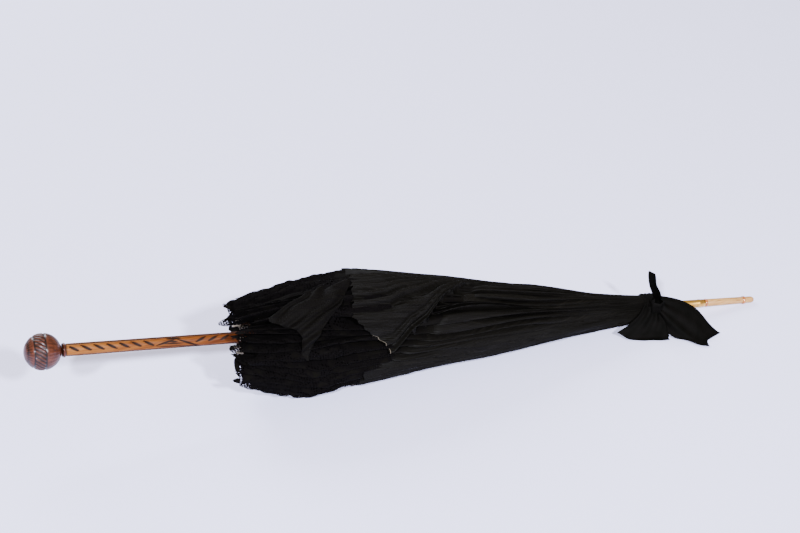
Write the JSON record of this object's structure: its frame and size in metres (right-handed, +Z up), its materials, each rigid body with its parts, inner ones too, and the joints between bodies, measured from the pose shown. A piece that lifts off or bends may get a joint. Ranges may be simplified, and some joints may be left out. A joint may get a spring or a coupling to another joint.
{
  "type": "lace parasol",
  "caption": "Closed parasol with a carved wooden stick, ball knob, gathered dark cover with a lace flounce, ribbon bow and slim pale ferrule; it opens and folds.",
  "frame": {"origin": "middle of the base of the bounding box, on the floor that the closed parasol lies on", "axes": "+X towards the ferrule along the stick's plan, +Z up; the stick is pitched down towards +X by about 6.5 degrees"},
  "size_m": [0.9046, 0.1564, 0.1517],
  "materials": {
    "stick_wood": "varnished, burnt line carving",
    "knob_wood": "polished, carved",
    "brass": "lightly worn",
    "bone": null,
    "horn": "polished horn rings",
    "steel": "drawn wire",
    "rib_cane": "blackened cane",
    "ribbon": "silk ribbon",
    "silk": "gathered silk chiffon",
    "lace": "openwork lace on net"
  },
  "bodies": {
    "root": {"stick": "stick_wood", "stop_pin": "steel", "knob": "knob_wood", "knob_collar": "knob_wood", "ferrule_socket": "brass", "ferrule_ring_inner": "horn", "ferrule_ring_outer": "horn", "ferrule_tube": "bone", "ferrule_tip": "bone", "top_notch": "brass", "notch_wire": "steel", "top_rosette": "silk", "ribbon_band": "ribbon", "ribbon_tail": "ribbon", "ribbon_loop": "ribbon", "ribbon_strap": "ribbon"},
    "runner": {"runner_tube": "brass", "runner_crown": "brass"},
    "lower_catch": {"lower_catch": "steel"},
    "upper_catch": {"upper_catch": "steel"},
    "rib_1": {"rib_1": "rib_cane", "rib_tip_1": "bone"},
    "stretcher_1": {"stretcher_1": "steel"},
    "gore_1": {"gore_1": "silk", "flounce_1": "lace"},
    "rib_2": {"rib_2": "rib_cane", "rib_tip_2": "bone"},
    "stretcher_2": {"stretcher_2": "steel"},
    "gore_2": {"gore_2": "silk", "flounce_2": "lace"},
    "rib_3": {"rib_3": "rib_cane", "rib_tip_3": "bone"},
    "stretcher_3": {"stretcher_3": "steel"},
    "gore_3": {"gore_3": "silk", "flounce_3": "lace"},
    "rib_4": {"rib_4": "rib_cane", "rib_tip_4": "bone"},
    "stretcher_4": {"stretcher_4": "steel"},
    "gore_4": {"gore_4": "silk", "flounce_4": "lace"},
    "rib_5": {"rib_5": "rib_cane", "rib_tip_5": "bone"},
    "stretcher_5": {"stretcher_5": "steel"},
    "gore_5": {"gore_5": "silk", "flounce_5": "lace"},
    "rib_6": {"rib_6": "rib_cane", "rib_tip_6": "bone"},
    "stretcher_6": {"stretcher_6": "steel"},
    "gore_6": {"gore_6": "silk", "flounce_6": "lace"},
    "rib_7": {"rib_7": "rib_cane", "rib_tip_7": "bone"},
    "stretcher_7": {"stretcher_7": "steel"},
    "gore_7": {"gore_7": "silk", "flounce_7": "lace"},
    "rib_8": {"rib_8": "rib_cane", "rib_tip_8": "bone"},
    "stretcher_8": {"stretcher_8": "steel"},
    "gore_8": {"gore_8": "silk", "flounce_8": "lace"}
  },
  "joints": [
    {"name": "runner_slide", "type": "slide", "parent": "root", "child": "runner", "axis": [0.9936, 0, -0.1132], "range_m": [0, 0.30293]},
    {"name": "rib_1_hinge", "type": "hinge", "parent": "root", "child": "rib_1", "pos_m": [0.28848, 0.01188, 0.02578], "axis": [-0.1046, 0.3827, -0.9179], "range_deg": [0, 72]},
    {"name": "stretcher_1_pivot", "type": "hinge", "parent": "rib_1", "child": "stretcher_1", "pos_m": [0.09859, 0.03015, 0.05504], "axis": [0.1046, -0.3827, 0.9179], "range_deg": [0, 144]},
    {"name": "gore_1_spread", "type": "hinge", "parent": "rib_1", "child": "gore_1", "pos_m": [0.21425, 0.10032, 0.12837], "axis": [-0.4873, 0.5871, 0.6464], "range_deg": [0, 52], "deforming": ["gore_1", "flounce_1"]},
    {"name": "rib_2_hinge", "type": "hinge", "parent": "root", "child": "rib_2", "pos_m": [0.28905, 0.00679, 0.03084], "axis": [-0.0433, 0.9239, -0.3802], "range_deg": [0, 72]},
    {"name": "stretcher_2_pivot", "type": "hinge", "parent": "rib_2", "child": "stretcher_2", "pos_m": [0.10038, 0.01436, 0.07073], "axis": [0.0433, -0.9239, 0.3802], "range_deg": [0, 144]},
    {"name": "gore_2_spread", "type": "hinge", "parent": "rib_2", "child": "gore_2", "pos_m": [0.21881, 0.00319, 0.16835], "axis": [-0.4597, 0, 0.8881], "range_deg": [0, 52], "deforming": ["gore_2", "flounce_2"]},
    {"name": "rib_3_hinge", "type": "hinge", "parent": "root", "child": "rib_3", "pos_m": [0.28905, -0.0004, 0.03084], "axis": [0.0433, 0.9239, 0.3802], "range_deg": [0, 72]},
    {"name": "stretcher_3_pivot", "type": "hinge", "parent": "rib_3", "child": "stretcher_3", "pos_m": [0.10038, -0.00797, 0.07073], "axis": [-0.0433, -0.9239, -0.3802], "range_deg": [0, 144]},
    {"name": "gore_3_spread", "type": "hinge", "parent": "rib_3", "child": "gore_3", "pos_m": [0.21425, -0.09393, 0.12837], "axis": [-0.4873, -0.5871, 0.6464], "range_deg": [0, 52], "deforming": ["gore_3", "flounce_3"]},
    {"name": "rib_4_hinge", "type": "hinge", "parent": "root", "child": "rib_4", "pos_m": [0.28848, -0.00549, 0.02578], "axis": [0.1046, 0.3827, 0.9179], "range_deg": [0, 72]},
    {"name": "stretcher_4_pivot", "type": "hinge", "parent": "rib_4", "child": "stretcher_4", "pos_m": [0.09859, -0.02377, 0.05504], "axis": [-0.1046, -0.3827, -0.9179], "range_deg": [0, 144]},
    {"name": "gore_4_spread", "type": "hinge", "parent": "rib_4", "child": "gore_4", "pos_m": [0.20325, -0.13416, 0.03187], "axis": [-0.5537, -0.8303, 0.0631], "range_deg": [0, 52], "deforming": ["gore_4", "flounce_4"]},
    {"name": "rib_5_hinge", "type": "hinge", "parent": "root", "child": "rib_5", "pos_m": [0.28766, -0.00549, 0.01863], "axis": [0.1046, -0.3827, 0.9179], "range_deg": [0, 72]},
    {"name": "stretcher_5_pivot", "type": "hinge", "parent": "rib_5", "child": "stretcher_5", "pos_m": [0.09606, -0.02377, 0.03285], "axis": [-0.1046, 0.3827, -0.9179], "range_deg": [0, 144]},
    {"name": "gore_5_spread", "type": "hinge", "parent": "rib_5", "child": "gore_5", "pos_m": [0.19225, -0.09393, -0.06463], "axis": [-0.6202, -0.5871, -0.5202], "range_deg": [0, 52], "deforming": ["gore_5", "flounce_5"]},
    {"name": "rib_6_hinge", "type": "hinge", "parent": "root", "child": "rib_6", "pos_m": [0.28709, -0.0004, 0.01358], "axis": [0.0433, -0.9239, 0.3802], "range_deg": [0, 72]},
    {"name": "stretcher_6_pivot", "type": "hinge", "parent": "rib_6", "child": "stretcher_6", "pos_m": [0.09427, -0.00797, 0.01716], "axis": [-0.0433, 0.9239, -0.3802], "range_deg": [0, 144]},
    {"name": "gore_6_spread", "type": "hinge", "parent": "rib_6", "child": "gore_6", "pos_m": [0.1877, 0.00319, -0.1046], "axis": [-0.6478, 0, -0.7618], "range_deg": [0, 52], "deforming": ["gore_6", "flounce_6"]},
    {"name": "rib_7_hinge", "type": "hinge", "parent": "root", "child": "rib_7", "pos_m": [0.28709, 0.00679, 0.01358], "axis": [-0.0433, -0.9239, -0.3802], "range_deg": [0, 72]},
    {"name": "stretcher_7_pivot", "type": "hinge", "parent": "rib_7", "child": "stretcher_7", "pos_m": [0.09427, 0.01436, 0.01716], "axis": [0.0433, 0.9239, 0.3802], "range_deg": [0, 144]},
    {"name": "gore_7_spread", "type": "hinge", "parent": "rib_7", "child": "gore_7", "pos_m": [0.19225, 0.10032, -0.06463], "axis": [-0.6202, 0.5871, -0.5202], "range_deg": [0, 52], "deforming": ["gore_7", "flounce_7"]},
    {"name": "rib_8_hinge", "type": "hinge", "parent": "root", "child": "rib_8", "pos_m": [0.28766, 0.01188, 0.01863], "axis": [-0.1046, -0.3827, -0.9179], "range_deg": [0, 72]},
    {"name": "stretcher_8_pivot", "type": "hinge", "parent": "rib_8", "child": "stretcher_8", "pos_m": [0.09606, 0.03015, 0.03285], "axis": [0.1046, 0.3827, 0.9179], "range_deg": [0, 144]},
    {"name": "gore_8_spread", "type": "hinge", "parent": "rib_8", "child": "gore_8", "pos_m": [0.20325, 0.14055, 0.03187], "axis": [-0.5537, 0.8303, 0.0631], "range_deg": [0, 52], "deforming": ["gore_8", "flounce_8"]},
    {"name": "lower_catch_press", "type": "slide", "parent": "root", "child": "lower_catch", "axis": [-0.1132, 0, -0.9936], "range_m": [0, 0.0023], "stiffness_N_per_m": 400},
    {"name": "upper_catch_press", "type": "slide", "parent": "root", "child": "upper_catch", "axis": [-0.1132, 0, -0.9936], "range_m": [0, 0.0023], "stiffness_N_per_m": 400}
  ],
  "couplings": [
    {"joint": "rib_1_hinge", "follows": "runner_slide", "rad_per_m": 4.1482},
    {"joint": "stretcher_1_pivot", "follows": "runner_slide", "rad_per_m": 8.2964},
    {"joint": "gore_1_spread", "follows": "runner_slide", "rad_per_m": 2.9957},
    {"joint": "rib_2_hinge", "follows": "runner_slide", "rad_per_m": 4.1482},
    {"joint": "stretcher_2_pivot", "follows": "runner_slide", "rad_per_m": 8.2964},
    {"joint": "gore_2_spread", "follows": "runner_slide", "rad_per_m": 2.9957},
    {"joint": "rib_3_hinge", "follows": "runner_slide", "rad_per_m": 4.1482},
    {"joint": "stretcher_3_pivot", "follows": "runner_slide", "rad_per_m": 8.2964},
    {"joint": "gore_3_spread", "follows": "runner_slide", "rad_per_m": 2.9957},
    {"joint": "rib_4_hinge", "follows": "runner_slide", "rad_per_m": 4.1482},
    {"joint": "stretcher_4_pivot", "follows": "runner_slide", "rad_per_m": 8.2964},
    {"joint": "gore_4_spread", "follows": "runner_slide", "rad_per_m": 2.9957},
    {"joint": "rib_5_hinge", "follows": "runner_slide", "rad_per_m": 4.1482},
    {"joint": "stretcher_5_pivot", "follows": "runner_slide", "rad_per_m": 8.2964},
    {"joint": "gore_5_spread", "follows": "runner_slide", "rad_per_m": 2.9957},
    {"joint": "rib_6_hinge", "follows": "runner_slide", "rad_per_m": 4.1482},
    {"joint": "stretcher_6_pivot", "follows": "runner_slide", "rad_per_m": 8.2964},
    {"joint": "gore_6_spread", "follows": "runner_slide", "rad_per_m": 2.9957},
    {"joint": "rib_7_hinge", "follows": "runner_slide", "rad_per_m": 4.1482},
    {"joint": "stretcher_7_pivot", "follows": "runner_slide", "rad_per_m": 8.2964},
    {"joint": "gore_7_spread", "follows": "runner_slide", "rad_per_m": 2.9957},
    {"joint": "rib_8_hinge", "follows": "runner_slide", "rad_per_m": 4.1482},
    {"joint": "stretcher_8_pivot", "follows": "runner_slide", "rad_per_m": 8.2964},
    {"joint": "gore_8_spread", "follows": "runner_slide", "rad_per_m": 2.9957}
  ]
}
